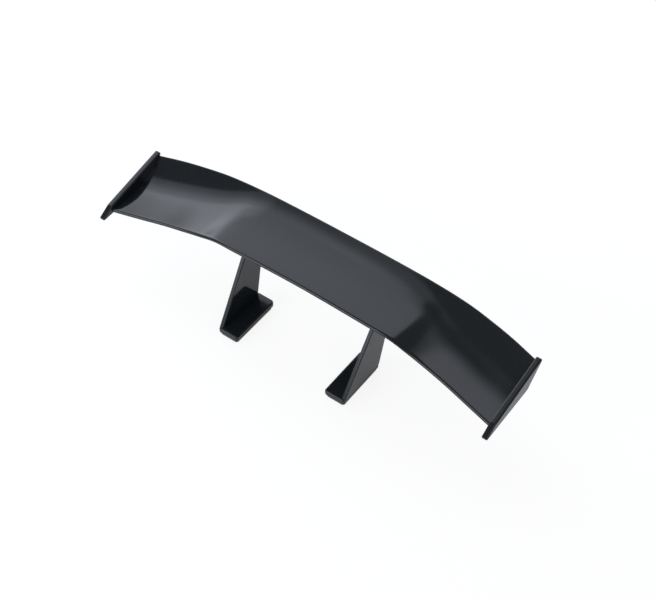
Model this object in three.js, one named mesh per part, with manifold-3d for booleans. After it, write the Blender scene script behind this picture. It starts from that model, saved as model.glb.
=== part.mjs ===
// A small stick-on rear wing: a thin cambered blade on two moulded legs, with a plate on each tip.
// Millimetres. X runs along the span, -Y is the leading edge, +Z is up, and the origin is the middle
// of the footprint at the height of the surface that the wing stands on.
import * as THREE from 'three';
import { mergeVertices } from 'three/addons/utils/BufferGeometryUtils.js';
import Module from 'manifold-3d';

const wasm = await Module();
wasm.setup();

// Driving dimensions. While the parts are made, y = 0 is the front of the feet and z = 0 their underside.
const SPAN = 170;
const ENDPLATE_THICKNESS = 2.3;
const BLADE_END = SPAN / 2 - ENDPLATE_THICKNESS;

// Blade sections: distance from the middle, centre of the nose, centre of the tail, and how steeply
// the tail climbs. The middle is high and nearly level; outboard of the legs the nose drops, so the
// blade meets the air more steeply there, and both edges come forward at the tips.
const BLADE_SECTIONS = [
  { x: 0, nose: [12.2, 34.4], tail: [40.6, 35.2], climb: 20 },
  { x: 30, nose: [12.3, 33.4], tail: [40.7, 34.7], climb: 21 },
  { x: 38, nose: [12.7, 32.5], tail: [40.6, 34.45], climb: 25 },
  { x: 46, nose: [12.8, 30.3], tail: [40.2, 34.3], climb: 31 },
  { x: 54, nose: [12.3, 28.6], tail: [39.4, 34.2], climb: 36 },
  { x: 62, nose: [11.2, 27.5], tail: [38.2, 33.8], climb: 40 },
  { x: 72, nose: [9.3, 26.3], tail: [36.4, 33.1], climb: 42.5 },
  { x: BLADE_END, nose: [7.0, 25.45], tail: [33.9, 32.1], climb: 43.5 },
];
const NOSE_THICKNESS = 1.6;
const TAIL_THICKNESS = 0.9;
const NOSE_DIP = 5;
const NOSE_REACH = 10;
const TAIL_REACH = 10.4;
const SPAN_STEPS = 48;
const CHORD_STEPS = 16;
const NOSE_ARC_STEPS = 4;
const TAIL_ARC_STEPS = 2;

// Endplate outline as [y, z, corner radius]: front foot, rear foot, rear top, front top.
const ENDPLATE_CORNERS = [
  [0.2, 23.9, 0.5],
  [27.0, 24.75, 2.2],
  [36.5, 34.1, 0.7],
  [6.4, 27.7, 1.2],
];
const EDGE_ROUND = 0.3;
const EDGE_ROUND_STEPS = 2;

// Two tongues on each blade end push into blind slots in the endplate.
const TONGUE_PLACES = [0.22, 0.74];
const TONGUE_LENGTH = 6;
const TONGUE_THICKNESS = 0.8;
const TONGUE_DEPTH = 1.1;
const TONGUE_CLEARANCE = 0.3;

// Legs: a foot that points inboard, an upright on its outer edge, and a flange under the blade.
const FOOT_OUTER_X = 28.55;
const FOOT_WIDTH = 8.8;
const FOOT_LENGTH = 22.6;
const FOOT_THICKNESS = 2.4;
const FOOT_CORNERS = { front: 1.0, rearInner: 1.5, rearOuter: 2.0 };
const UPRIGHT_THICKNESS = 1.6;
const UPRIGHT_LEAN = Math.tan(THREE.MathUtils.degToRad(1.6));
const UPRIGHT_FRONT = { foot: 0.8, top: 18.3 };
const UPRIGHT_REAR = { foot: 21.8, top: 28.1 };
const SEAT_HEIGHT = 30.2;
const FLANGE_THICKNESS = 1.6;
const FLANGE_WIDTH = 9;
const FLANGE_CORNER = 1.5;
const SINK = 0.6;

// Seat pads under the blade, one above each leg, with two pilot holes for the screws.
const PAD_MARGIN = 0.8;
const PAD_TOP = 32.7;
const SCREW_INSET_X = 5.2;
const SCREW_INSET_Y = 2.6;
const PILOT_RADIUS = 1.05;
const PILOT_END = 32.6;
const CLEARANCE_HOLE_RADIUS = 1.25;

// Pan head screws with a cross recess. The head's rim is a quarter ellipse above a straight side.
const SCREW = { headRadius: 1.8, headHeight: 1.3, headSide: 0.45, crown: 1.0 };
const THREAD = { core: 0.7, crest: 0.95, pitch: 0.8, length: 3.7, tip: 0.42 };
const SCREW_SIDES = 16;
const HEAD_STEPS = 3;
const RECESS = { arm: 1.9, width: 0.55, depth: 0.7 };

// Foam tape and its release liner under each foot.
const TAPE_INSET = 0.5;
const TAPE_THICKNESS = 0.8;
const LINER_THICKNESS = 0.15;

const SIDES = { left: -1, right: 1 };
const ARC_STEPS = 5;
const MERGE_DISTANCE = 1e-4;
const ORIGIN = new THREE.Vector2();

const GLOSS_BLACK = { color: 0x15171a, roughness: 0.12, metalness: 0 };
const BLACK_STEEL = { color: 0x2b2d30, roughness: 0.38, metalness: 0.9 };
const GREY_FOAM = { color: 0x3c3e40, roughness: 0.9, metalness: 0 };
const RED_FILM = { color: 0x9c1f1c, roughness: 0.35, metalness: 0 };

// --- solids and booleans ---------------------------------------------------------------------

function toSolid(geometry) {
  const bare = geometry.clone();
  for (const name of Object.keys(bare.attributes)) {
    if (name !== 'position') bare.deleteAttribute(name);
  }
  const merged = mergeVertices(bare, MERGE_DISTANCE);
  return new wasm.Manifold(new wasm.Mesh({
    numProp: 3,
    vertProperties: Float32Array.from(merged.attributes.position.array),
    triVerts: Uint32Array.from(merged.index.array),
  }));
}

function toGeometry(solid) {
  const mesh = solid.getMesh();
  const geometry = new THREE.BufferGeometry();
  geometry.setAttribute('position', new THREE.BufferAttribute(new Float32Array(mesh.vertProperties), 3));
  geometry.setIndex(new THREE.BufferAttribute(new Uint32Array(mesh.triVerts), 1));
  geometry.computeVertexNormals();
  return geometry;
}

function join(geometries) {
  return geometries.map(toSolid).reduce((whole, piece) => whole.add(piece));
}

function cut(solid, geometries) {
  return geometries.map(toSolid).reduce((whole, piece) => whole.subtract(piece), solid);
}

// Left-hand parts are the mirror image of right-hand ones, with the faces turned back outwards.
function forSide(geometry, side) {
  if (side > 0) return geometry;
  const mirrored = geometry.clone().scale(-1, 1, 1);
  const index = mirrored.index.array;
  for (let i = 0; i < index.length; i += 3) {
    [index[i], index[i + 1]] = [index[i + 1], index[i]];
  }
  mirrored.computeVertexNormals();
  return mirrored;
}

// --- outlines --------------------------------------------------------------------------------

// A closed shape through [u, v, radius] corners, each rounded by an arc of that radius.
function roundedShape(corners) {
  const points = [];
  corners.forEach(([u, v, radius], i) => {
    const corner = new THREE.Vector2(u, v);
    const before = new THREE.Vector2(...corners.at(i - 1)).sub(corner).normalize();
    const after = new THREE.Vector2(...corners[(i + 1) % corners.length]).sub(corner).normalize();
    const halfAngle = Math.acos(before.dot(after)) / 2;
    const middle = before.clone().add(after).normalize();
    const centre = corner.clone().addScaledVector(middle, radius / Math.sin(halfAngle));
    const start = before.clone().multiplyScalar(radius / Math.tan(halfAngle)).add(corner).sub(centre);
    const turn = Math.sign(before.cross(after)) * (Math.PI - 2 * halfAngle);
    for (let step = 0; step <= ARC_STEPS; step += 1) {
      const swept = start.clone().rotateAround(ORIGIN, -turn * step / ARC_STEPS);
      points.push(swept.add(centre));
    }
  });
  return new THREE.Shape(points);
}

// A plate in the XY plane between two heights, with rounded upper and lower edges.
function flatPlate(shape, bottom, top, edgeRound = EDGE_ROUND) {
  const geometry = new THREE.ExtrudeGeometry(shape, {
    depth: top - bottom - 2 * edgeRound,
    bevelEnabled: edgeRound > 0,
    bevelThickness: edgeRound,
    bevelSize: edgeRound,
    bevelOffset: -edgeRound,
    bevelSegments: EDGE_ROUND_STEPS,
  });
  return geometry.translate(0, 0, bottom + edgeRound);
}

// The same plate stood up: its outline lies in the YZ plane and its thickness runs along +X.
function standingPlate(shape, inner, outer, edgeRound = EDGE_ROUND) {
  const axes = new THREE.Matrix4().makeBasis(
    new THREE.Vector3(0, 1, 0),
    new THREE.Vector3(0, 0, 1),
    new THREE.Vector3(1, 0, 0),
  );
  return flatPlate(shape, inner, outer, edgeRound).applyMatrix4(axes);
}

// --- blade -----------------------------------------------------------------------------------

// A smooth curve through one measure of the blade sections, level where it crosses the middle.
function alongSpan(x, measure) {
  const distance = Math.abs(x);
  const last = BLADE_SECTIONS.length - 1;
  const i = Math.min(BLADE_SECTIONS.findLastIndex((section) => section.x <= distance), last - 1);
  const value = (k) => measure(BLADE_SECTIONS[k]);
  const rise = (k) => (value(k + 1) - value(k)) / (BLADE_SECTIONS[k + 1].x - BLADE_SECTIONS[k].x);
  const slope = (k) => {
    if (k === 0) return 0;
    return k === last ? rise(last - 1) : (rise(k - 1) + rise(k)) / 2;
  };
  const gap = BLADE_SECTIONS[i + 1].x - BLADE_SECTIONS[i].x;
  const t = (distance - BLADE_SECTIONS[i].x) / gap;
  return value(i) * (1 + 2 * t) * (1 - t) ** 2 + gap * slope(i) * t * (1 - t) ** 2
    + value(i + 1) * t * t * (3 - 2 * t) - gap * slope(i + 1) * t * t * (1 - t);
}

// The camber line of the section at x, as a curve in (y, z).
function camberLine(x) {
  const nose = new THREE.Vector2(alongSpan(x, (s) => s.nose[0]), alongSpan(x, (s) => s.nose[1]));
  const tail = new THREE.Vector2(alongSpan(x, (s) => s.tail[0]), alongSpan(x, (s) => s.tail[1]));
  const dip = THREE.MathUtils.degToRad(-NOSE_DIP);
  const climb = THREE.MathUtils.degToRad(alongSpan(x, (s) => s.climb));
  const afterNose = nose.clone().add(new THREE.Vector2(NOSE_REACH, 0).rotateAround(ORIGIN, dip));
  const beforeTail = tail.clone().sub(new THREE.Vector2(TAIL_REACH, 0).rotateAround(ORIGIN, climb));
  return new THREE.CubicBezierCurve(nose, afterNose, beforeTail, tail);
}

// Points round one section: over the top from nose to tail, round the tail and back underneath.
function sectionLoop(x) {
  const line = camberLine(x);
  const offset = (t, turn) => {
    const along = line.getTangent(t);
    const up = new THREE.Vector2(-along.y, along.x);
    const half = THREE.MathUtils.lerp(NOSE_THICKNESS, TAIL_THICKNESS, t * t) / 2;
    return up.rotateAround(ORIGIN, turn).multiplyScalar(half).add(line.getPoint(t));
  };
  const steps = (count) => Array.from({ length: count + 1 }, (_, i) => i / count);
  return [
    ...steps(CHORD_STEPS).map((t) => offset(t, 0)),
    ...steps(TAIL_ARC_STEPS).slice(1, -1).map((t) => offset(1, -Math.PI * t)),
    ...steps(CHORD_STEPS).map((t) => offset(1 - t, -Math.PI)),
    ...steps(NOSE_ARC_STEPS).slice(1, -1).map((t) => offset(0, -Math.PI * (1 + t))),
  ];
}

// The blade's skin: neighbouring sections stitched together, and an end face on each tip.
function bladeShell() {
  const loops = [];
  for (let k = 0; k <= SPAN_STEPS; k += 1) {
    const x = THREE.MathUtils.lerp(-BLADE_END, BLADE_END, k / SPAN_STEPS);
    loops.push(sectionLoop(x).map((point) => [x, point.x, point.y]));
  }
  const count = loops[0].length;
  const index = [];
  for (let k = 0; k < SPAN_STEPS; k += 1) {
    for (let i = 0; i < count; i += 1) {
      const a = k * count + i;
      const b = k * count + (i + 1) % count;
      index.push(a, a + count, b, b, a + count, b + count);
    }
  }
  // An end face is zipped from the tip of the nose, one step along the top and one underneath.
  const noseTip = count - NOSE_ARC_STEPS / 2;
  const endFaces = (k) => {
    const at = (i) => k * count + (noseTip + i) % count;
    const faces = [];
    for (let j = 0; j < count / 2; j += 1) {
      if (j > 0) faces.push([at(j), at(count - j - 1), at(count - j)]);
      if (j < count / 2 - 1) faces.push([at(j), at(j + 1), at(count - j - 1)]);
    }
    return faces;
  };
  endFaces(0).forEach(([a, b, c]) => index.push(a, b, c));
  endFaces(SPAN_STEPS).forEach(([a, b, c]) => index.push(a, c, b));
  const geometry = new THREE.BufferGeometry();
  geometry.setAttribute('position', new THREE.Float32BufferAttribute(loops.flat(2), 3));
  geometry.setIndex(index);
  return geometry;
}

// A tongue at one place along the tip's camber line, grown by a clearance where it is a slot cutter.
function tongue(place, side, clearance = 0) {
  const line = camberLine(BLADE_END);
  const point = line.getPoint(place);
  const tangent = line.getTangent(place);
  const bar = new THREE.BoxGeometry(
    2 * (TONGUE_DEPTH + clearance),
    TONGUE_LENGTH + 2 * clearance,
    TONGUE_THICKNESS + 2 * clearance,
  );
  bar.rotateX(Math.atan2(tangent.y, tangent.x));
  return bar.translate(side * BLADE_END, point.x, point.y);
}

// --- legs ------------------------------------------------------------------------------------

const seatOuterX = FOOT_OUTER_X + UPRIGHT_LEAN * (SEAT_HEIGHT - FOOT_THICKNESS);
const screwX = seatOuterX - SCREW_INSET_X;
const screwYs = [UPRIGHT_FRONT.top + SCREW_INSET_Y, UPRIGHT_REAR.top - SCREW_INSET_Y];

function footShape(inset = 0) {
  const inner = FOOT_OUTER_X - FOOT_WIDTH + inset;
  const outer = FOOT_OUTER_X - inset;
  const rear = FOOT_LENGTH - inset;
  return roundedShape([
    [inner, inset, FOOT_CORNERS.front],
    [outer, inset, FOOT_CORNERS.front],
    [outer, rear, FOOT_CORNERS.rearOuter],
    [inner, rear, FOOT_CORNERS.rearInner],
  ]);
}

// The upright starts a little inside the foot and stops at the seat, leaning outwards as it rises.
function upright() {
  const bottom = FOOT_THICKNESS - SINK;
  const plate = standingPlate(new THREE.Shape([
    new THREE.Vector2(UPRIGHT_FRONT.foot, bottom),
    new THREE.Vector2(UPRIGHT_REAR.foot, bottom),
    new THREE.Vector2(UPRIGHT_REAR.foot, FOOT_THICKNESS),
    new THREE.Vector2(UPRIGHT_REAR.top, SEAT_HEIGHT),
    new THREE.Vector2(UPRIGHT_FRONT.top, SEAT_HEIGHT),
    new THREE.Vector2(UPRIGHT_FRONT.foot, FOOT_THICKNESS),
  ]), FOOT_OUTER_X - UPRIGHT_THICKNESS, FOOT_OUTER_X);
  const lean = new THREE.Matrix4().makeShear(0, 0, 0, 0, UPRIGHT_LEAN, 0);
  return plate.translate(0, 0, -FOOT_THICKNESS).applyMatrix4(lean).translate(0, 0, FOOT_THICKNESS);
}

function seatShape(margin) {
  return roundedShape([
    [seatOuterX - FLANGE_WIDTH - margin, UPRIGHT_FRONT.top - margin, FLANGE_CORNER],
    [seatOuterX + margin, UPRIGHT_FRONT.top - margin, FLANGE_CORNER / 3],
    [seatOuterX + margin, UPRIGHT_REAR.top + margin, FLANGE_CORNER / 3],
    [seatOuterX - FLANGE_WIDTH - margin, UPRIGHT_REAR.top + margin, FLANGE_CORNER],
  ]);
}

function rod(radius, x, y, bottom, top) {
  const cylinder = new THREE.CylinderGeometry(radius, radius, top - bottom, SCREW_SIDES);
  return cylinder.rotateX(Math.PI / 2).translate(x, y, (bottom + top) / 2);
}

function legGeometry() {
  const foot = flatPlate(footShape(), 0, FOOT_THICKNESS);
  const flange = flatPlate(seatShape(0), SEAT_HEIGHT - FLANGE_THICKNESS, SEAT_HEIGHT, 0);
  const holes = screwYs.map((y) => rod(
    CLEARANCE_HOLE_RADIUS, screwX, y, SEAT_HEIGHT - FLANGE_THICKNESS - SINK, SEAT_HEIGHT + SINK,
  ));
  return toGeometry(cut(join([foot, upright(), flange]), holes));
}

function mainPlaneGeometry() {
  const sides = Object.values(SIDES);
  const pad = flatPlate(seatShape(PAD_MARGIN), SEAT_HEIGHT, PAD_TOP, 0);
  const additions = sides.flatMap((side) => [
    forSide(mergeVertices(pad), side),
    ...TONGUE_PLACES.map((place) => tongue(place, side)),
  ]);
  const pilots = sides.flatMap((side) => screwYs.map(
    (y) => rod(PILOT_RADIUS, side * screwX, y, SEAT_HEIGHT - SINK, PILOT_END),
  ));
  return toGeometry(cut(join([bladeShell(), ...additions]), pilots));
}

// --- endplates, screws and tape --------------------------------------------------------------

function endplateGeometry() {
  const plate = standingPlate(roundedShape(ENDPLATE_CORNERS), BLADE_END, SPAN / 2);
  const slots = TONGUE_PLACES.map((place) => tongue(place, SIDES.right, TONGUE_CLEARANCE));
  return toGeometry(cut(toSolid(plate), slots));
}

// A pan head screw, drawn with the underside of its head at z = 0 and its point upwards.
function screwGeometry() {
  const { headRadius, headHeight, headSide, crown } = SCREW;
  const { core, crest, pitch, length, tip } = THREAD;
  const profile = [[0, -headHeight]];
  for (let step = 0; step <= HEAD_STEPS; step += 1) {
    const angle = Math.PI / 2 * (1 - step / HEAD_STEPS);
    profile.push([
      crown + (headRadius - crown) * Math.cos(angle),
      -headSide - (headHeight - headSide) * Math.sin(angle),
    ]);
  }
  profile.push([headRadius, 0], [core, 0]);
  for (let z = pitch; z < length - pitch / 2; z += pitch) {
    profile.push([core, z - pitch / 4], [crest, z], [core, z + pitch / 4]);
  }
  profile.push([tip, length], [0, length]);
  const body = new THREE.LatheGeometry(profile.map(([r, z]) => new THREE.Vector2(r, z)), SCREW_SIDES);
  const { arm, width, depth } = RECESS;
  const arms = [[arm, width], [width, arm]].map(([x, y]) => (
    new THREE.BoxGeometry(x, y, 2 * depth).translate(0, 0, -headHeight)
  ));
  return toGeometry(cut(toSolid(body.rotateX(Math.PI / 2)), arms));
}

// A square-edged layer under a foot, set in a little from the foot's outline.
function underFoot(bottom, top) {
  return mergeVertices(flatPlate(footShape(TAPE_INSET), bottom, top, 0));
}

// --- assembly --------------------------------------------------------------------------------

const wing = new THREE.Group();
const tapeBottom = -TAPE_THICKNESS;
const linerBottom = tapeBottom - LINER_THICKNESS;

function add(name, geometry, finish) {
  const mesh = new THREE.Mesh(geometry, new THREE.MeshStandardMaterial(finish));
  mesh.name = name;
  wing.add(mesh);
  return mesh;
}

add('main_plane', mainPlaneGeometry(), GLOSS_BLACK);
for (const [sideName, side] of Object.entries(SIDES)) {
  add(`endplate_${sideName}`, forSide(endplateGeometry(), side), GLOSS_BLACK);
  add(`leg_${sideName}`, forSide(legGeometry(), side), GLOSS_BLACK);
  add(`foot_tape_${sideName}`, forSide(underFoot(tapeBottom, 0), side), GREY_FOAM);
  add(`tape_liner_${sideName}`, forSide(underFoot(linerBottom, tapeBottom), side), RED_FILM);
  screwYs.forEach((y, i) => {
    const screw = add(`leg_screw_${sideName}_${['front', 'rear'][i]}`, screwGeometry(), BLACK_STEEL);
    screw.position.set(side * screwX, y, SEAT_HEIGHT - FLANGE_THICKNESS);
  });
}

// Stand the wing on its liners with the origin in the middle of its footprint.
const box = new THREE.Box3().setFromObject(wing, true);
wing.position.set(0, -(box.min.y + box.max.y) / 2, -box.min.z);
wing.updateMatrixWorld(true);

export default wing;
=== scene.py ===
"""Looks for the small stick-on rear wing: gloss black moulded plastic on a white studio table.

Sizes are millimetres unless a name says otherwise. While a piece is made, x runs along the span,
y = 0 is the front of the feet and z = 0 their underside. to_frame() then puts it in the frame, in
metres.
"""
import math
import bmesh
import bpy
from mathutils import Matrix, Vector


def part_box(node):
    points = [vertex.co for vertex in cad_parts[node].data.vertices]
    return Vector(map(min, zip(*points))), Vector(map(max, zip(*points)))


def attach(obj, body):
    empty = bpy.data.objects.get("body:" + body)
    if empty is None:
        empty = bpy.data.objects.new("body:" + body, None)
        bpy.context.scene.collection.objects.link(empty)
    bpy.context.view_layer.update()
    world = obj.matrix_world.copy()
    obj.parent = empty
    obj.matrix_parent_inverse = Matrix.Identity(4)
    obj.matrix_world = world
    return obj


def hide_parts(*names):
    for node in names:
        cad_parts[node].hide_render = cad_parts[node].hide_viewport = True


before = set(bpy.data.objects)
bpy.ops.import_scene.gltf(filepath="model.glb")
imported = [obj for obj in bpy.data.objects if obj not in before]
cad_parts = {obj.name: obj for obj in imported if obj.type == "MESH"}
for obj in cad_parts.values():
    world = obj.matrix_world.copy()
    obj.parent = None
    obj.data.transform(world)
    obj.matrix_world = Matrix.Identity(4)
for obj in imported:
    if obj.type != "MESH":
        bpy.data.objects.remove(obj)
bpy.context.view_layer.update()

MM = 0.001
SIDES = {"left": -1, "right": 1}
foot_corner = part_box("leg_left")[0]
span_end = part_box("endplate_right")[1].x / MM
blade_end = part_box("endplate_right")[0].x / MM


def to_frame(x, y, z):
    """A point of the wing in the frame, in metres."""
    return Vector((x * MM, foot_corner.y + y * MM, foot_corner.z + z * MM))


# --- camera ------------------------------------------------------------------------------------

CAMERA_AZIMUTH = 36.42
CAMERA_ELEVATION = 49.29
CAMERA_DISTANCE = 503.2
LENS = 81.24
LOOK_AT = Vector((15.05, -11.72, 40.81))


def direction(azimuth, elevation):
    """Unit vector away from the wing. Azimuth 0 is in front of it, 90 off its right-hand end."""
    a = math.radians(azimuth)
    e = math.radians(elevation)
    return Vector((math.sin(a) * math.cos(e), -math.cos(a) * math.cos(e), math.sin(e)))


def make_camera():
    camera = bpy.data.objects.new("camera", bpy.data.cameras.new("camera"))
    bpy.context.scene.collection.objects.link(camera)
    back = direction(CAMERA_AZIMUTH, CAMERA_ELEVATION)
    camera.location = (LOOK_AT + back * CAMERA_DISTANCE) * MM
    camera.rotation_mode = "QUATERNION"
    camera.rotation_quaternion = (-back).to_track_quat("-Z", "Y")
    camera.data.lens = LENS
    camera.data.clip_start = 0.01
    camera.data.clip_end = 20
    bpy.context.scene.camera = camera


# --- mesh building -----------------------------------------------------------------------------

ARC_STEPS = 8
EDGE_STEPS = 4
SHARP_ANGLE = math.radians(35)


def outline(corners, inset=0.0):
    """Points round a polygon of (u, v, radius) corners, each an arc, drawn inset from its edge."""
    points = []
    for i, (u, v, radius) in enumerate(corners):
        corner = Vector((u, v))
        before = (Vector(corners[i - 1][:2]) - corner).normalized()
        after = (Vector(corners[(i + 1) % len(corners)][:2]) - corner).normalized()
        half = before.angle(after) / 2
        centre = corner + (before + after).normalized() * (radius / math.sin(half))
        start = (corner + before * (radius / math.tan(half)) - centre).normalized()
        turn = math.copysign(math.pi - 2 * half, -before.cross(after))
        for step in range(ARC_STEPS + 1):
            swept = Matrix.Rotation(turn * step / ARC_STEPS, 2) @ start
            points.append(centre + swept * (radius - inset))
    return points


def plate_rings(corners, low, high, edge):
    """Rings of (u, v, height) points for a plate whose rim is rounded to radius edge."""
    rim = []
    for step in range(EDGE_STEPS + 1):
        angle = math.pi / 2 * step / EDGE_STEPS
        rim.append((edge * (1 - math.sin(angle)), edge * (1 - math.cos(angle))))
    levels = [(inset, low + rise) for inset, rise in rim]
    levels += [(inset, high - rise) for inset, rise in reversed(rim)]
    return [[(u, v, level) for u, v in outline(corners, inset)] for inset, level in levels]


def flat(rings):
    """Plate rings laid flat: u along x, v along y, height along z."""
    return [[(u, v, w) for u, v, w in ring] for ring in rings]


def standing(rings):
    """Plate rings stood up: u along y, v along z, height along x."""
    return [[(w, u, v) for u, v, w in ring] for ring in rings]


def loft(name, rings, side=1):
    """An object with a closed skin through rings of (x, y, z) points, mirrored for side -1."""
    mesh = bmesh.new()
    loops = [[mesh.verts.new(to_frame(side * x, y, z)) for x, y, z in ring] for ring in rings]
    count = len(rings[0])
    for lower, upper in zip(loops, loops[1:]):
        for i in range(count):
            j = (i + 1) % count
            mesh.faces.new((lower[i], lower[j], upper[j], upper[i]))
    mesh.faces.new(loops[0])
    mesh.faces.new(loops[-1])
    bmesh.ops.remove_doubles(mesh, verts=mesh.verts, dist=1e-7)
    bmesh.ops.recalc_face_normals(mesh, faces=mesh.faces)
    data = bpy.data.meshes.new(name)
    mesh.to_mesh(data)
    mesh.free()
    piece = bpy.data.objects.new(name, data)
    bpy.context.scene.collection.objects.link(piece)
    return piece


def combine(piece, tools, operation):
    """Joins the tools to the piece, or cuts them out of it, and removes them."""
    for tool in tools:
        modifier = piece.modifiers.new("combine", "BOOLEAN")
        modifier.solver = "EXACT"
        modifier.operation = operation
        modifier.object = tool
    depsgraph = bpy.context.evaluated_depsgraph_get()
    result = bpy.data.meshes.new_from_object(piece.evaluated_get(depsgraph))
    piece.modifiers.clear()
    piece.data = result
    for tool in tools:
        bpy.data.objects.remove(tool)


def finish_piece(piece, node, material):
    """Smooth shading with crisp flats, the material, and the piece's place in the frame."""
    piece.data.shade_smooth()
    piece.data.set_sharp_from_angle(angle=SHARP_ANGLE)
    shading = piece.modifiers.new("even_flats", "WEIGHTED_NORMAL")
    shading.keep_sharp = True
    piece.data.materials.clear()
    piece.data.materials.append(material)
    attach(piece, "root")
    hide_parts(node)


# --- blade -------------------------------------------------------------------------------------

# Distance from the middle, centre of the nose, centre of the tail, and how steeply the tail climbs.
BLADE_SECTIONS = [
    (0, (12.2, 34.4), (40.6, 35.2), 20),
    (30, (12.3, 33.4), (40.7, 34.7), 21),
    (38, (12.7, 32.5), (40.6, 34.45), 25),
    (46, (12.8, 30.3), (40.2, 34.3), 31),
    (54, (12.3, 28.6), (39.4, 34.2), 36),
    (62, (11.2, 27.5), (38.2, 33.8), 40),
    (72, (9.3, 26.3), (36.4, 33.1), 42.5),
    (blade_end, (7.0, 25.45), (33.9, 32.1), 43.5),
]
NOSE_THICKNESS = 1.6
TAIL_THICKNESS = 0.9
NOSE_DIP = math.radians(-5)
NOSE_REACH = 10
TAIL_REACH = 10.4
SPAN_STEPS = 180
CHORD_STEPS = 48
TIP_STEPS = 8

TONGUE_PLACES = (0.22, 0.74)
TONGUE_LENGTH = 6
TONGUE_THICKNESS = 0.8
TONGUE_DEPTH = 1.1
TONGUE_CLEARANCE = 0.3


def along_span(x, measure):
    """A smooth curve through one measure of the blade sections, level where it crosses the middle."""
    places = [section[0] for section in BLADE_SECTIONS]
    values = [measure(section) for section in BLADE_SECTIONS]
    last = len(places) - 1
    distance = abs(x)
    i = min(sum(place <= distance for place in places) - 1, last - 1)

    def rise(k):
        return (values[k + 1] - values[k]) / (places[k + 1] - places[k])

    def slope(k):
        if k == 0:
            return 0
        return rise(last - 1) if k == last else (rise(k - 1) + rise(k)) / 2

    gap = places[i + 1] - places[i]
    t = (distance - places[i]) / gap
    start = values[i] * (1 + 2 * t) * (1 - t) ** 2 + gap * slope(i) * t * (1 - t) ** 2
    end = values[i + 1] * t * t * (3 - 2 * t) - gap * slope(i + 1) * t * t * (1 - t)
    return start + end


def camber_line(x):
    """The four control points, in (y, z), of the camber line of the section at x."""
    nose = Vector([along_span(x, lambda section: section[1][k]) for k in (0, 1)])
    tail = Vector([along_span(x, lambda section: section[2][k]) for k in (0, 1)])
    climb = math.radians(along_span(x, lambda section: section[3]))
    after_nose = nose + Vector((math.cos(NOSE_DIP), math.sin(NOSE_DIP))) * NOSE_REACH
    before_tail = tail - Vector((math.cos(climb), math.sin(climb))) * TAIL_REACH
    return nose, after_nose, before_tail, tail


def on_camber(line, t):
    """The point at t of a camber line, and its direction there."""
    a, b, c, d = line
    point = a * (1 - t) ** 3 + b * (3 * t * (1 - t) ** 2) + c * (3 * t * t * (1 - t)) + d * t ** 3
    tangent = (b - a) * (1 - t) ** 2 + (c - b) * (2 * t * (1 - t)) + (d - c) * t * t
    return point, tangent.normalized()


def section_ring(x):
    """Points round the section at x: over the top, round the tail, back underneath, round the nose."""
    line = camber_line(x)

    def offset(t, turn):
        point, along = on_camber(line, t)
        half = (NOSE_THICKNESS + (TAIL_THICKNESS - NOSE_THICKNESS) * t * t) / 2
        y, z = point + Matrix.Rotation(math.pi / 2 - turn, 2) @ along * half
        return x, y, z

    chord = [i / CHORD_STEPS for i in range(CHORD_STEPS + 1)]
    tip = [i / TIP_STEPS for i in range(1, TIP_STEPS)]
    return (
        [offset(t, 0) for t in chord]
        + [offset(1, math.pi * t) for t in tip]
        + [offset(1 - t, math.pi) for t in chord]
        + [offset(0, math.pi * (1 + t)) for t in tip]
    )


def tongue(place, side, clearance=0.0):
    """A small bar across the blade's end, or with a clearance the slot that it pushes into."""
    point, along = on_camber(camber_line(blade_end), place)
    up = Vector((-along.y, along.x))
    length = TONGUE_LENGTH / 2 + clearance
    height = TONGUE_THICKNESS / 2 + clearance
    rings = []
    for x in (-TONGUE_DEPTH - clearance, TONGUE_DEPTH + clearance):
        ring = []
        for i, j in ((-1, -1), (1, -1), (1, 1), (-1, 1)):
            y, z = point + along * (i * length) + up * (j * height)
            ring.append((blade_end + x, y, z))
        rings.append(ring)
    return loft("tongue", rings, side)


# --- legs --------------------------------------------------------------------------------------

FOOT_OUTER_X = 28.55
FOOT_WIDTH = 8.8
FOOT_LENGTH = 22.6
FOOT_THICKNESS = 2.4
FOOT_EDGE = 0.6
FOOT_CORNERS = {"front": 1.0, "rear_inner": 1.5, "rear_outer": 2.0}
UPRIGHT_THICKNESS = 1.6
UPRIGHT_LEAN = math.tan(math.radians(1.6))
UPRIGHT_EDGE = 0.35
UPRIGHT_FRONT = (0.8, 18.3)
UPRIGHT_REAR = (21.8, 28.1)
SEAT_HEIGHT = 30.2
FLANGE_THICKNESS = 1.6
FLANGE_WIDTH = 9
FLANGE_CORNER = 1.5
FLANGE_EDGE = 0.2
ROOT_FILLET = 0.6
FILLET_SETBACK = {"front": 0.5, "rear": 1.0}
SINK = 0.6
PAD_MARGIN = 0.8
PAD_TOP = 32.7
PAD_EDGE = 0.15
SCREW_INSET_X = 5.2
SCREW_INSET_Y = 2.6
PILOT_RADIUS = 1.05
PILOT_END = 32.6
HOLE_RADIUS = 1.25
HOLE_SIDES = 32

seat_outer_x = FOOT_OUTER_X + UPRIGHT_LEAN * (SEAT_HEIGHT - FOOT_THICKNESS)
screw_x = seat_outer_x - SCREW_INSET_X
screw_ys = {"front": UPRIGHT_FRONT[1] + SCREW_INSET_Y, "rear": UPRIGHT_REAR[1] - SCREW_INSET_Y}


def foot_corners(inset=0.0):
    inner = FOOT_OUTER_X - FOOT_WIDTH + inset
    outer = FOOT_OUTER_X - inset
    rear = FOOT_LENGTH - inset
    return [
        (inner, inset, FOOT_CORNERS["front"]),
        (outer, inset, FOOT_CORNERS["front"]),
        (outer, rear, FOOT_CORNERS["rear_outer"]),
        (inner, rear, FOOT_CORNERS["rear_inner"]),
    ]


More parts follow.
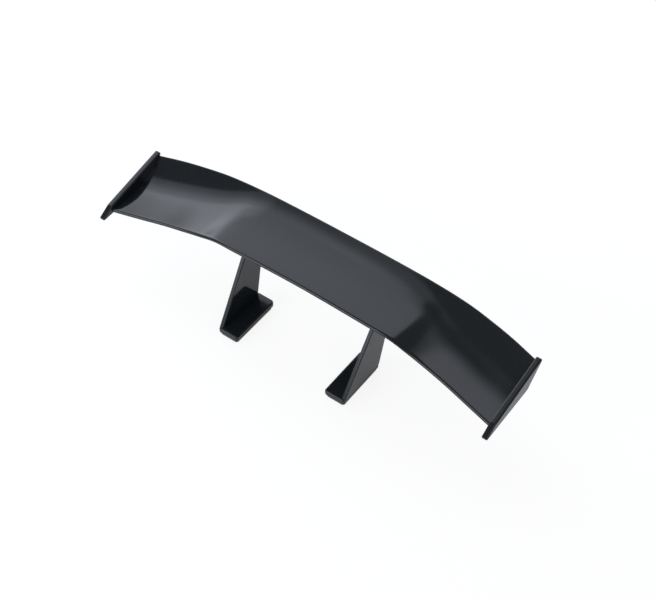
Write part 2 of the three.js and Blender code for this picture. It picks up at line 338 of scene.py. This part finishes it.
def seat_corners(margin):
    inner = seat_outer_x - FLANGE_WIDTH - margin
    outer = seat_outer_x + margin
    front = UPRIGHT_FRONT[1] - margin
    rear = UPRIGHT_REAR[1] + margin
    return [
        (inner, front, FLANGE_CORNER),
        (outer, front, FLANGE_CORNER / 3),
        (outer, rear, FLANGE_CORNER / 3),
        (inner, rear, FLANGE_CORNER),
    ]


def lean(ring):
    """Tips a ring of points outwards, the more the higher they are above the foot."""
    return [(x + UPRIGHT_LEAN * (z - FOOT_THICKNESS), y, z) for x, y, z in ring]


def upright(side):
    """The raked plate between foot and flange. Its lower edge is sunk into the foot."""
    share = SINK / (SEAT_HEIGHT - FOOT_THICKNESS)
    front = UPRIGHT_FRONT[0] - share * (UPRIGHT_FRONT[1] - UPRIGHT_FRONT[0])
    rear = UPRIGHT_REAR[0] - share * (UPRIGHT_REAR[1] - UPRIGHT_REAR[0])
    corners = [
        (front, FOOT_THICKNESS - SINK, UPRIGHT_EDGE),
        (rear, FOOT_THICKNESS - SINK, UPRIGHT_EDGE),
        (UPRIGHT_REAR[1], SEAT_HEIGHT, UPRIGHT_EDGE),
        (UPRIGHT_FRONT[1], SEAT_HEIGHT, UPRIGHT_EDGE),
    ]
    inner = FOOT_OUTER_X - UPRIGHT_THICKNESS
    rings = standing(plate_rings(corners, inner, FOOT_OUTER_X, UPRIGHT_EDGE))
    return loft("upright", [lean(ring) for ring in rings], side)


def root_fillet(height, front, rear, side):
    """A concave strip in the corner between the upright's inner face and the flange above it."""
    corner_x = FOOT_OUTER_X - UPRIGHT_THICKNESS + UPRIGHT_LEAN * (height - FOOT_THICKNESS)
    profile = [(SINK / 2, SINK / 2), (SINK / 2, -ROOT_FILLET)]
    for step in range(EDGE_STEPS * 2 + 1):
        angle = math.pi / 2 * step / (EDGE_STEPS * 2)
        profile.append((
            -ROOT_FILLET * (1 - math.cos(angle)),
            -ROOT_FILLET * (1 - math.sin(angle)),
        ))
    profile.append((-ROOT_FILLET, SINK / 2))
    rings = [[(corner_x + u, y, height + v) for u, v in profile] for y in (front, rear)]
    return loft("root_fillet", rings, side)


def rod(name, radius, x, y, low, high, side):
    """A plain round bar along z, for cutting holes."""
    rings = []
    for z in (low, high):
        turns = [2 * math.pi * i / HOLE_SIDES for i in range(HOLE_SIDES)]
        rings.append([(x + radius * math.cos(t), y + radius * math.sin(t), z) for t in turns])
    return loft(name, rings, side)


def leg(side_name, material):
    side = SIDES[side_name]
    foot = flat(plate_rings(foot_corners(), 0, FOOT_THICKNESS, FOOT_EDGE))
    piece = loft(f"moulded_leg_{side_name}", foot, side)
    underside = SEAT_HEIGHT - FLANGE_THICKNESS
    flange = flat(plate_rings(seat_corners(0), underside, SEAT_HEIGHT, FLANGE_EDGE))
    fillet_front = UPRIGHT_FRONT[1] + FILLET_SETBACK["front"]
    fillet_rear = UPRIGHT_REAR[1] - FILLET_SETBACK["rear"]
    additions = [
        upright(side),
        loft("flange", flange, side),
        root_fillet(underside, fillet_front, fillet_rear, side),
    ]
    combine(piece, additions, "UNION")
    holes = [
        rod("hole", HOLE_RADIUS, screw_x, y, underside - SINK, SEAT_HEIGHT + SINK, side)
        for y in screw_ys.values()
    ]
    combine(piece, holes, "DIFFERENCE")
    finish_piece(piece, f"leg_{side_name}", material)


def main_plane(material):
    stations = [blade_end * (2 * k / SPAN_STEPS - 1) for k in range(SPAN_STEPS + 1)]
    piece = loft("moulded_blade", [section_ring(x) for x in stations])
    additions = []
    pilots = []
    for side in SIDES.values():
        pad = flat(plate_rings(seat_corners(PAD_MARGIN), SEAT_HEIGHT, PAD_TOP, PAD_EDGE))
        additions.append(loft("seat_pad", pad, side))
        additions += [tongue(place, side) for place in TONGUE_PLACES]
        for y in screw_ys.values():
            pilots.append(rod("pilot", PILOT_RADIUS, screw_x, y, SEAT_HEIGHT - SINK, PILOT_END, side))
    combine(piece, additions, "UNION")
    combine(piece, pilots, "DIFFERENCE")
    finish_piece(piece, "main_plane", material)


# --- endplates ---------------------------------------------------------------------------------

ENDPLATE_CORNERS = [
    (0.2, 23.9, 0.5),
    (27.0, 24.75, 2.2),
    (36.5, 34.1, 0.7),
    (6.4, 27.7, 1.2),
]
ENDPLATE_EDGE = 0.5


def endplate(side_name, material):
    side = SIDES[side_name]
    rings = standing(plate_rings(ENDPLATE_CORNERS, blade_end, span_end, ENDPLATE_EDGE))
    piece = loft(f"moulded_endplate_{side_name}", rings, side)
    slots = [tongue(place, side, TONGUE_CLEARANCE) for place in TONGUE_PLACES]
    combine(piece, slots, "DIFFERENCE")
    finish_piece(piece, f"endplate_{side_name}", material)


# --- screws ------------------------------------------------------------------------------------

HEAD_RADIUS = 1.8
HEAD_HEIGHT = 1.3
HEAD_SIDE = 0.45
HEAD_CROWN = 1.0
HEAD_STEPS = 6
THREAD_CORE = 0.7
THREAD_CREST = 0.95
THREAD_PITCH = 0.8
THREAD_LENGTH = 3.7
THREAD_TIP = 0.42
THREAD_STEP = 0.05
SCREW_SIDES = 48
RECESS_ARM = 1.9
RECESS_WIDTH = 0.55
RECESS_DEPTH = 0.7
RECESS_MOUTH = 1.15
RECESS_FLOOR = 0.7


def thread_radius(height, turn):
    """Radius of the threaded shank: a helical ridge that fades out at the head and at the point."""
    phase = (height / THREAD_PITCH - turn) % 1
    ridge = max(0.0, 1 - 4 * abs(phase - 0.5))
    taper = min(1.0, (THREAD_LENGTH - height) / THREAD_PITCH, height / (THREAD_PITCH / 2))
    point = max(0.0, 1 - (THREAD_LENGTH - height) / THREAD_PITCH)
    core = THREAD_CORE - (THREAD_CORE - THREAD_TIP) * point
    return core + (THREAD_CREST - THREAD_CORE) * ridge * taper


def screw(side_name, end, material):
    """A pan head screw that points up, with the underside of its head against the flange."""
    side = SIDES[side_name]
    seat = SEAT_HEIGHT - FLANGE_THICKNESS
    turns = [i / SCREW_SIDES for i in range(SCREW_SIDES)]

    def ring(height, radius_at):
        points = []
        for turn in turns:
            radius = radius_at(turn)
            angle = 2 * math.pi * turn
            points.append((
                screw_x + radius * math.cos(angle),
                screw_ys[end] + radius * math.sin(angle),
                seat + height,
            ))
        return points

    rings = []
    for step in range(HEAD_STEPS + 1):
        angle = math.pi / 2 * (1 - step / HEAD_STEPS)
        radius = HEAD_CROWN + (HEAD_RADIUS - HEAD_CROWN) * math.cos(angle)
        drop = HEAD_SIDE + (HEAD_HEIGHT - HEAD_SIDE) * math.sin(angle)
        rings.append(ring(-drop, lambda turn, radius=radius: radius))
    rings.append(ring(0, lambda turn: HEAD_RADIUS))
    count = round(THREAD_LENGTH / THREAD_STEP)
    for k in range(count + 1):
        height = THREAD_LENGTH * k / count
        rings.append(ring(height, lambda turn, height=height: thread_radius(height, turn)))
    piece = loft(f"pan_screw_{side_name}_{end}", rings, side)
    arms = []
    for long_x in (True, False):
        corners = []
        for i, j in ((-1, -1), (1, -1), (1, 1), (-1, 1)):
            reach_x, reach_y = (RECESS_ARM, RECESS_WIDTH) if long_x else (RECESS_WIDTH, RECESS_ARM)
            corners.append((i * reach_x / 2, j * reach_y / 2))
        levels = (
            (-HEAD_HEIGHT - SINK, RECESS_MOUTH),
            (-HEAD_HEIGHT + RECESS_DEPTH, RECESS_FLOOR),
        )
        arms.append(loft("recess", [
            [(screw_x + u * share, screw_ys[end] + v * share, seat + level) for u, v in corners]
            for level, share in levels
        ], side))
    combine(piece, arms, "DIFFERENCE")
    finish_piece(piece, f"leg_screw_{side_name}_{end}", material)


# --- tape and liner ----------------------------------------------------------------------------

TAPE_INSET = 0.5
TAPE_PINCH = 0.12
TAPE_LEVELS = 8
LINER_EDGE = 0.05


def foam_tape(side_name, material):
    """A foam layer under the foot whose cut edge is pinched a little at half height."""
    side = SIDES[side_name]
    node = f"foot_tape_{side_name}"
    low, high = ((corner.z - foot_corner.z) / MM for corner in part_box(node))
    rings = []
    for k in range(TAPE_LEVELS + 1):
        share = k / TAPE_LEVELS
        pinch = TAPE_PINCH * math.sin(math.pi * share)
        level = low + (high - low) * share
        rings.append([(x, y, level) for x, y in outline(foot_corners(TAPE_INSET), pinch)])
    piece = loft(f"foam_pad_{side_name}", rings, side)
    finish_piece(piece, node, material)


def liner(side_name, material):
    """The release paper on the tape's sticky side."""
    node = f"tape_liner_{side_name}"
    low, high = ((corner.z - foot_corner.z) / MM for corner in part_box(node))
    rings = flat(plate_rings(foot_corners(TAPE_INSET), low, high, LINER_EDGE))
    piece = loft(f"release_paper_{side_name}", rings, SIDES[side_name])
    finish_piece(piece, node, material)


# --- materials ---------------------------------------------------------------------------------


class Shader:
    """A material with a Principled surface, and short ways to add the nodes that drive it."""

    def __init__(self, name):
        self.material = bpy.data.materials.new(name)
        self.material.use_nodes = True
        self.nodes = self.material.node_tree.nodes
        self.links = self.material.node_tree.links
        self.surface = self.nodes["Principled BSDF"]
        self.place = self.add("ShaderNodeTexCoord").outputs["Object"]

    def add(self, kind, **settings):
        node = self.nodes.new(kind)
        for key, value in settings.items():
            setattr(node, key, value)
        return node

    def feed(self, node, socket, value):
        if isinstance(value, bpy.types.NodeSocket):
            self.links.new(value, node.inputs[socket])
        else:
            node.inputs[socket].default_value = value

    def stretched(self, scale, turn=(0, 0, 0)):
        mapping = self.add("ShaderNodeMapping")
        self.feed(mapping, "Vector", self.place)
        self.feed(mapping, "Scale", scale)
        self.feed(mapping, "Rotation", turn)
        return mapping.outputs["Vector"]

    def noise(self, scale, detail=2.0, roughness=0.5, place=None):
        node = self.add("ShaderNodeTexNoise")
        self.feed(node, "Vector", place or self.place)
        self.feed(node, "Scale", scale)
        self.feed(node, "Detail", detail)
        self.feed(node, "Roughness", roughness)
        return node.outputs["Fac"]

    def cells(self, scale):
        node = self.add("ShaderNodeTexVoronoi")
        self.feed(node, "Vector", self.place)
        self.feed(node, "Scale", scale)
        return node.outputs["Distance"]

    def ramp(self, value, low, high, to_low, to_high):
        node = self.add("ShaderNodeMapRange", interpolation_type="SMOOTHSTEP")
        self.feed(node, "Value", value)
        self.feed(node, "From Min", low)
        self.feed(node, "From Max", high)
        self.feed(node, "To Min", to_low)
        self.feed(node, "To Max", to_high)
        return node.outputs["Result"]

    def blend(self, share, first, second):
        node = self.add("ShaderNodeMix", data_type="RGBA")
        self.feed(node, "Factor", share)
        self.feed(node, 6, (*first, 1))
        self.feed(node, 7, (*second, 1))
        return node.outputs[2]

    def add_up(self, first, second):
        node = self.add("ShaderNodeMath", operation="ADD")
        self.feed(node, 0, first)
        self.feed(node, 1, second)
        return node.outputs[0]

    def bump(self, height, depth_mm, under=None):
        node = self.add("ShaderNodeBump")
        self.feed(node, "Height", height)
        self.feed(node, "Distance", depth_mm * MM)
        self.feed(node, "Strength", 1.0)
        if under:
            self.feed(node, "Normal", under)
        return node.outputs["Normal"]


def gloss_black():
    """Polished black moulding: faint flow ripple, fine handling marks and a little settled dust."""
    shader = Shader("gloss_black_plastic")
    flow = shader.noise(45, detail=3)
    ripple = shader.noise(420, detail=1)
    marks = shader.noise(
        1, detail=2, place=shader.stretched((2600, 90, 900), (0, 0, math.radians(24)))
    )
    scuffs = shader.ramp(marks, 0.66, 0.74, 0.0, 0.10)
    haze = shader.ramp(flow, 0.35, 0.7, 0.085, 0.125)
    dust = shader.ramp(shader.noise(2400, detail=0), 0.80, 0.84, 0.0, 1.0)
    colour = shader.blend(dust, (0.0125, 0.0158, 0.0185), (0.04, 0.04, 0.042))
    shader.feed(shader.surface, "Base Color", colour)
    shader.feed(shader.surface, "Roughness", shader.add_up(haze, scuffs))
    shader.feed(shader.surface, "IOR", 1.5)
    rippled = shader.bump(ripple, 0.0012)
    shader.feed(shader.surface, "Normal", shader.bump(flow, 0.004, under=rippled))
    return shader.material


def black_zinc():
    """Black plated steel with turned rings and rubbed high spots."""
    shader = Shader("black_zinc_steel")
    worn = shader.ramp(shader.noise(1800, detail=3), 0.45, 0.7, 0.0, 1.0)
    colour = shader.blend(worn, (0.035, 0.036, 0.04), (0.12, 0.12, 0.125))
    shader.feed(shader.surface, "Base Color", colour)
    shader.feed(shader.surface, "Metallic", 1.0)
    shader.feed(shader.surface, "Roughness", shader.ramp(worn, 0, 1, 0.42, 0.28))
    shader.feed(shader.surface, "Normal", shader.bump(shader.noise(5200, detail=1), 0.006))
    return shader.material


def grey_foam():
    """Closed-cell foam: small round cells, its grey darkened as painted shade in the hollow of each
    cell.
    """
    shader = Shader("closed_cell_foam")
    cells = shader.cells(5200)
    # painted shade: the foam is darker down in each cell's hollow and lighter on the cell walls
    painted_pit_shade = shader.ramp(cells, 0.1, 0.7, 0.0, 1.0)
    colour = shader.blend(painted_pit_shade, (0.028, 0.028, 0.03), (0.075, 0.075, 0.078))
    shader.feed(shader.surface, "Base Color", colour)
    shader.feed(shader.surface, "Roughness", shader.ramp(painted_pit_shade, 0, 1, 0.95, 0.8))
    shader.feed(shader.surface, "Normal", shader.bump(cells, 0.05))
    return shader.material


def release_paper():
    """White glazed release paper with slight crinkles, with painted shade that darkens their hollows.
    """
    shader = Shader("white_release_paper")
    crinkle = shader.noise(300, detail=4, roughness=0.6)
    # painted shade: the paper is darker down in the crinkles' hollows and lighter on their ridges
    painted_crease_shade = shader.ramp(crinkle, 0.3, 0.7, 0.0, 1.0)
    colour = shader.blend(painted_crease_shade, (0.68, 0.68, 0.66), (0.76, 0.76, 0.74))
    shader.feed(shader.surface, "Base Color", colour)
    shader.feed(shader.surface, "Roughness", shader.ramp(painted_crease_shade, 0, 1, 0.32, 0.45))
    shader.feed(shader.surface, "Normal", shader.bump(crinkle, 0.01))
    return shader.material


# --- studio ------------------------------------------------------------------------------------

FLOOR_SIZE = 12000
FLOOR_GAP = 0.02
FLOOR_SHARE_LIT = 0.25
FLOOR_SHARE_SEEN_LIT = 0.8
FLOOR_GLOW = 1.09
FLOOR_PAINT = (0.95, 0.95, 0.95, 1)
ROOM_LEVEL = 0.16
COOL_WHITE = (0.95, 0.99, 1.09, 1)
PANEL_CELLS = 12


def staged_sheet(name, corners, material):
    """A four-cornered sheet that is not part of the wing, given by its corners in millimetres."""
    a, b, c, d = (Vector(corner) * MM for corner in corners)
    data = bmesh.new()
    layer = data.loops.layers.uv.new("across")
    shares = [k / PANEL_CELLS for k in range(PANEL_CELLS + 1)]
    rows = [[data.verts.new(a.lerp(b, u).lerp(d.lerp(c, u), v)) for u in shares] for v in shares]
    for j in range(PANEL_CELLS):
        for i in range(PANEL_CELLS):
            cell = ((i, j), (i + 1, j), (i + 1, j + 1), (i, j + 1))
            face = data.faces.new([rows[row][column] for column, row in cell])
            for loop, (column, row) in zip(face.loops, cell):
                loop[layer].uv = (shares[column], shares[row])
    mesh = bpy.data.meshes.new(name)
    data.to_mesh(mesh)
    data.free()
    mesh.materials.append(material)
    sheet = bpy.data.objects.new(name, mesh)
    bpy.context.scene.collection.objects.link(sheet)
    return sheet


def empty_material(name):
    """A material with no nodes, and its nodes and links."""
    material = bpy.data.materials.new(name)
    material.use_nodes = True
    material.node_tree.nodes.clear()
    return material, material.node_tree.nodes, material.node_tree.links


def white_floor():
    """A white table that glows. Seen directly, the glow nearly hides the wing's shadow."""
    material, nodes, links = empty_material("white_floor")
    paint = nodes.new("ShaderNodeBsdfDiffuse")
    paint.inputs["Color"].default_value = FLOOR_PAINT
    glow = nodes.new("ShaderNodeEmission")
    glow.inputs["Strength"].default_value = FLOOR_GLOW
    share = nodes.new("ShaderNodeMapRange")
    share.inputs["To Min"].default_value = FLOOR_SHARE_LIT
    share.inputs["To Max"].default_value = FLOOR_SHARE_SEEN_LIT
    links.new(nodes.new("ShaderNodeLightPath").outputs["Is Camera Ray"], share.inputs["Value"])
    mix = nodes.new("ShaderNodeMixShader")
    links.new(share.outputs[0], mix.inputs[0])
    links.new(paint.outputs[0], mix.inputs[1])
    links.new(glow.outputs[0], mix.inputs[2])
    links.new(mix.outputs[0], nodes.new("ShaderNodeOutputMaterial").inputs["Surface"])
    half = FLOOR_SIZE / 2
    sides = ((-half, -half), (half, -half), (half, half), (-half, half))
    staged_sheet("floor", [(x, y, -FLOOR_GAP) for x, y in sides], material)


def panel_glow(strength, fades):
    """Light that fades out over a share of the panel at each of its four edges."""
    material, nodes, links = empty_material("soft_panel")
    place = nodes.new("ShaderNodeSeparateXYZ")
    links.new(nodes.new("ShaderNodeUVMap").outputs[0], place.inputs[0])
    total = strength
    for (axis, edge), fade in zip((("X", 0), ("X", 1), ("Y", 0), ("Y", 1)), fades):
        ramp = nodes.new("ShaderNodeMapRange")
        ramp.interpolation_type = "SMOOTHSTEP"
        ramp.inputs["From Min"].default_value = edge
        ramp.inputs["From Max"].default_value = abs(edge - fade)
        links.new(place.outputs[axis], ramp.inputs["Value"])
        product = nodes.new("ShaderNodeMath")
        product.operation = "MULTIPLY"
        links.new(ramp.outputs["Result"], product.inputs[0])
        if total is strength:
            product.inputs[1].default_value = strength
        else:
            links.new(total, product.inputs[1])
        total = product.outputs[0]
    glow = nodes.new("ShaderNodeEmission")
    glow.inputs["Color"].default_value = COOL_WHITE
    links.new(total, glow.inputs["Strength"])
    veil = nodes.new("ShaderNodeAddShader")
    links.new(glow.outputs[0], veil.inputs[0])
    links.new(nodes.new("ShaderNodeBsdfTransparent").outputs[0], veil.inputs[1])
    links.new(veil.outputs[0], nodes.new("ShaderNodeOutputMaterial").inputs["Surface"])
    return material


def soft_panel(name, corners, strength, fades):
    """A panel of soft light that the camera does not see."""
    sheet = staged_sheet(name, corners, panel_glow(strength, fades))
    sheet.visible_camera = False


def sky_panel(name, distance, directions, strength, fades):
    """A soft panel whose four corners lie in (azimuth, elevation) directions from the wing."""
    corners = [direction(azimuth, elevation) * distance for azimuth, elevation in directions]
    soft_panel(name, corners, strength, fades)


def make_room():
    """Dim surroundings, white where the camera sees past the table."""
    world = bpy.data.worlds.new("room")
    bpy.context.scene.world = world
    world.use_nodes = True
    nodes = world.node_tree.nodes
    links = world.node_tree.links
    level = nodes.new("ShaderNodeMapRange")
    level.inputs["To Min"].default_value = ROOM_LEVEL
    level.inputs["To Max"].default_value = 1.0
    links.new(nodes.new("ShaderNodeLightPath").outputs["Is Camera Ray"], level.inputs["Value"])
    links.new(level.outputs["Result"], nodes["Background"].inputs["Strength"])
    nodes["Background"].inputs["Color"].default_value = (1, 1, 1, 1)


def make_studio():
    """Gloss black shows little but what it mirrors, so the panels were set by trial for this camera."""
    white_floor()
    make_room()
    key = [(-2400, -1026, 640), (12, 190, 640), (284, 1500, 640), (-2400, 1500, 640)]
    soft_panel("key_panel", key, 1.18, (0.15, 0.014, 0.18, 0.1))
    spill = [(-420, -60, 660), (-50, -20, 660), (-20, 330, 660), (-420, 330, 660)]
    soft_panel("spill_panel", spill, 0.5, (0.5, 0.12, 0.3, 0.35))
    left = [(285, 2), (225, 2), (231, 43), (288, 65)]
    sky_panel("left_panel", 1200, left, 0.78, (0.15, 0.2, 0.1, 0.15))
    strip = [(240, 2), (258, 46), (246, 54), (227, 12)]
    sky_panel("strip_panel", 1150, strip, 0.95, (0.35, 0.15, 0.3, 0.35))
    front = [(-48, 1), (0, 1), (0, 38), (-48, 38)]
    sky_panel("front_panel", 1200, front, 3.8, (0.2, 0.2, 0.45, 0.15))
    fill = [(40, 28), (100, 28), (100, 68), (40, 68)]
    sky_panel("fill_panel", 1300, fill, 1.5, (0.2, 0.2, 0.2, 0.2))
    bpy.context.scene.view_settings.view_transform = "Standard"


# --- the wing ----------------------------------------------------------------------------------

make_camera()
make_studio()

black = gloss_black()
zinc = black_zinc()
foam = grey_foam()
paper = release_paper()

main_plane(black)
for side_name in SIDES:
    endplate(side_name, black)
    leg(side_name, black)
    foam_tape(side_name, foam)
    liner(side_name, paper)
    for end in screw_ys:
        screw(side_name, end, zinc)
